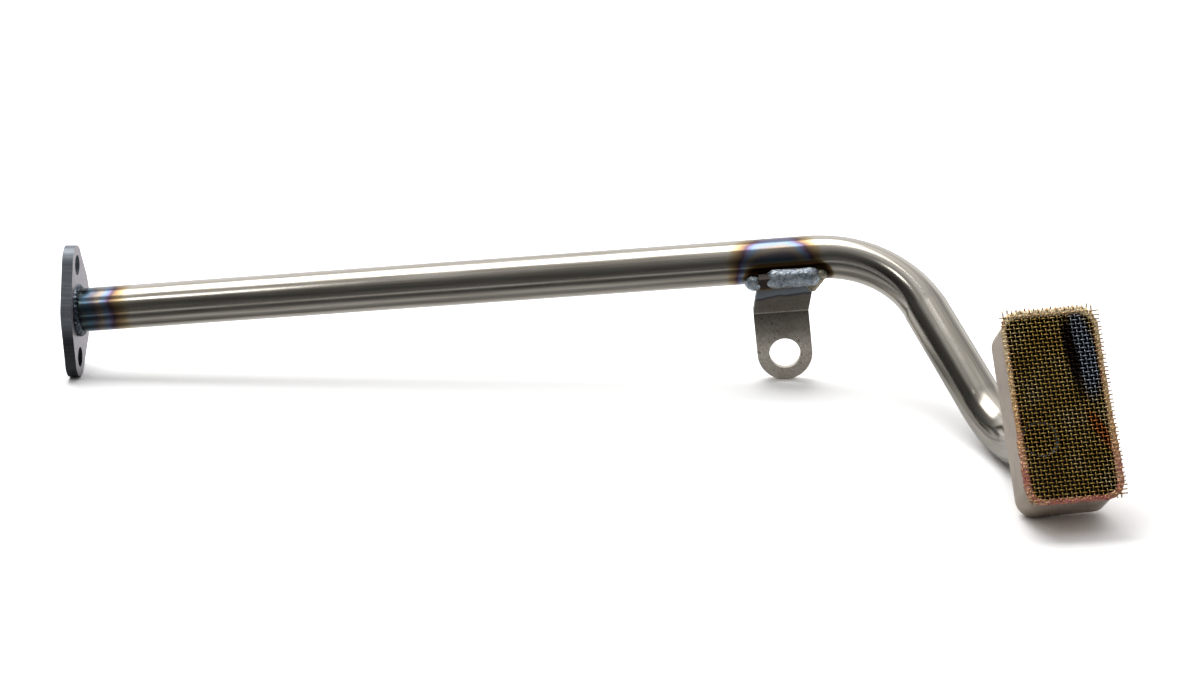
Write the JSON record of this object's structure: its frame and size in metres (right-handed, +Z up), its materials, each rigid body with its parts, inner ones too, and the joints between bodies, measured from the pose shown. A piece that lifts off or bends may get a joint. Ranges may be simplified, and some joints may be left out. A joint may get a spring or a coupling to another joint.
{
  "type": "oil pickup tube",
  "caption": "Bent steel oil pickup tube with a bolted flange, a welded stud bracket and a pressed pan closed by a brazed wire screen.",
  "frame": {"origin": "centre of the flange's sealing face, which is also the middle of the two bolt holes", "axes": "+X from the flange along the tube, level with the floor; +Z up as the part lies at rest; +Y to the left seen from the flange"},
  "size_m": [0.4443, 0.1802, 0.0789],
  "materials": {
    "flange_plate": "cut plate, ground face",
    "tube_steel": "bare drawn tube",
    "weld_steel": "bare weld bead",
    "strap_steel": "bare strip",
    "pan_steel": "bare pressed sheet",
    "screen_wire": "drawn wire, dulled",
    "braze": "brazed, bright in places"
  },
  "bodies": {
    "root": {"flange": "flange_plate", "tube": "tube_steel", "flange_weld": "weld_steel", "bracket": "strap_steel", "bracket_weld_front": "weld_steel", "bracket_weld_back": "weld_steel", "bracket_weld_left": "weld_steel", "bracket_weld_right": "weld_steel", "pickup_box": "pan_steel", "box_weld": "weld_steel", "screen": "screen_wire", "screen_braze": "braze"}
  },
  "joints": []
}
